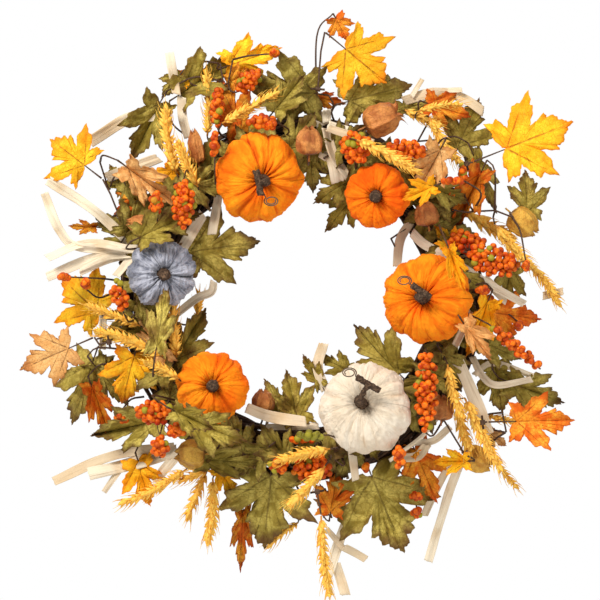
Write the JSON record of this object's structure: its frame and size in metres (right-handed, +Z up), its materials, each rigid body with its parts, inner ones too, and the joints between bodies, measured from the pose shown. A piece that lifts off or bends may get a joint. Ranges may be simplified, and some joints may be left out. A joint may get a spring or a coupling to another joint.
{
  "type": "harvest door wreath",
  "caption": "Autumn door wreath: a cane ring dressed with stuffed cloth pumpkins, silk maple leaves, berry sprays, wheat ears, husk pods and corn-husk ribbons.",
  "frame": {"origin": "hook seat, the innermost point of the cane ring's top, midway through the ring's depth", "axes": "+Z up and -Z from the hook seat towards the ring's centre, -Y out of the door towards the viewer, +X to the viewer's right"},
  "size_m": [0.55, 0.1534, 0.5932],
  "materials": {
    "cane_bark": "matte",
    "binding_jute": "matte",
    "orange_cloth": "matte",
    "deep_orange_cloth": "matte",
    "cream_cloth": "matte",
    "grey_velvet": "satin",
    "stem_bark": "matte",
    "tendril_wire": "satin",
    "dark_wire": "satin",
    "green_leaf": "matte",
    "yellow_leaf": "matte",
    "rust_leaf": "matte",
    "tan_leaf": "matte",
    "orange_berry": "satin",
    "green_berry": "satin",
    "golden_wheat": "satin",
    "corn_husk": "matte",
    "brown_pod": "matte",
    "golden_pod": "matte"
  },
  "bodies": {
    "root": {"inner_cane_hoop": "cane_bark", "outer_cane_hoop": "cane_bark", "front_cane_hoop": "cane_bark", "back_cane_hoop": "cane_bark", "binding_wraps": "binding_jute", "top_left_pumpkin": "orange_cloth", "top_left_pumpkin_stem": "stem_bark", "tendril_wires": "tendril_wire", "top_right_pumpkin": "deep_orange_cloth", "top_right_pumpkin_stem": "stem_bark", "right_pumpkin": "orange_cloth", "right_pumpkin_stem": "stem_bark", "white_pumpkin": "cream_cloth", "white_pumpkin_stem": "stem_bark", "lower_left_pumpkin": "orange_cloth", "lower_left_pumpkin_stem": "stem_bark", "grey_pumpkin": "grey_velvet", "grey_pumpkin_stem": "stem_bark", "green_leaves_top": "green_leaf", "green_leaves_right": "green_leaf", "green_leaves_bottom": "green_leaf", "green_leaves_left": "green_leaf", "brown_husk_pods": "brown_pod", "open_husk_pod": "brown_pod", "golden_husk_pods": "golden_pod", "husk_strips_top": "corn_husk", "husk_bow": "corn_husk", "husk_strips_right": "corn_husk", "husk_strips_bottom": "corn_husk", "husk_strips_left": "corn_husk", "yellow_leaves": "yellow_leaf", "rust_leaves": "rust_leaf", "tan_leaves": "tan_leaf", "berries_top_left": "orange_berry", "berry_stems": "dark_wire", "berries_left": "orange_berry", "berries_top": "orange_berry", "berries_right": "orange_berry", "berries_bottom_right": "orange_berry", "berries_bottom": "orange_berry", "berries_bottom_left": "orange_berry", "unripe_berries": "green_berry", "wheat_ears_top": "golden_wheat", "wheat_ears_right": "golden_wheat", "wheat_ears_bottom": "golden_wheat", "wheat_ears_left": "golden_wheat", "wire_stems": "dark_wire", "pick_pegs": "cane_bark"},
    "left_yellow_pick": {"left_yellow_leaf": "yellow_leaf", "left_yellow_leaf_wire": "dark_wire"},
    "top_yellow_pick": {"top_yellow_leaf": "yellow_leaf", "top_yellow_leaf_wire": "dark_wire"},
    "right_yellow_pick": {"right_yellow_leaf": "yellow_leaf", "right_yellow_leaf_wire": "dark_wire"},
    "left_tan_pick": {"left_tan_leaf": "tan_leaf", "left_tan_leaf_wire": "dark_wire"},
    "right_rust_pick": {"right_rust_leaf": "rust_leaf", "right_rust_leaf_wire": "dark_wire"},
    "hanging_ear_pick": {"hanging_wheat_ear": "golden_wheat", "hanging_wheat_ear_wire": "dark_wire"}
  },
  "joints": [
    {"name": "left_yellow_leaf_bend", "type": "hinge", "parent": "root", "child": "left_yellow_pick", "pos_m": [-0.182, -0.03615, -0.0435], "axis": [0.9285, 0, 0.3714], "range_deg": [-6, 35]},
    {"name": "top_yellow_leaf_bend", "type": "hinge", "parent": "root", "child": "top_yellow_pick", "pos_m": [0.018, -0.02998, 0.0825], "axis": [0.9969, 0, -0.0787], "range_deg": [-6, 35]},
    {"name": "right_yellow_leaf_bend", "type": "hinge", "parent": "root", "child": "right_yellow_pick", "pos_m": [0.166, -0.05397, 0.0065], "axis": [0.2322, 0, -0.9727], "range_deg": [-6, 35]},
    {"name": "left_tan_leaf_bend", "type": "hinge", "parent": "root", "child": "left_tan_pick", "pos_m": [-0.19, -0.05934, -0.1715], "axis": [-0.1961, 0, 0.9806], "range_deg": [-6, 35]},
    {"name": "right_rust_leaf_bend", "type": "hinge", "parent": "root", "child": "right_rust_pick", "pos_m": [0.182, -0.05469, -0.2515], "axis": [0.1027, 0, -0.9947], "range_deg": [-6, 35]},
    {"name": "hanging_wheat_ear_swing", "type": "hinge", "parent": "root", "child": "hanging_ear_pick", "pos_m": [0.017, -0.06997, -0.3195], "axis": [-0.9864, 0, -0.1644], "range_deg": [-12, 20]}
  ]
}
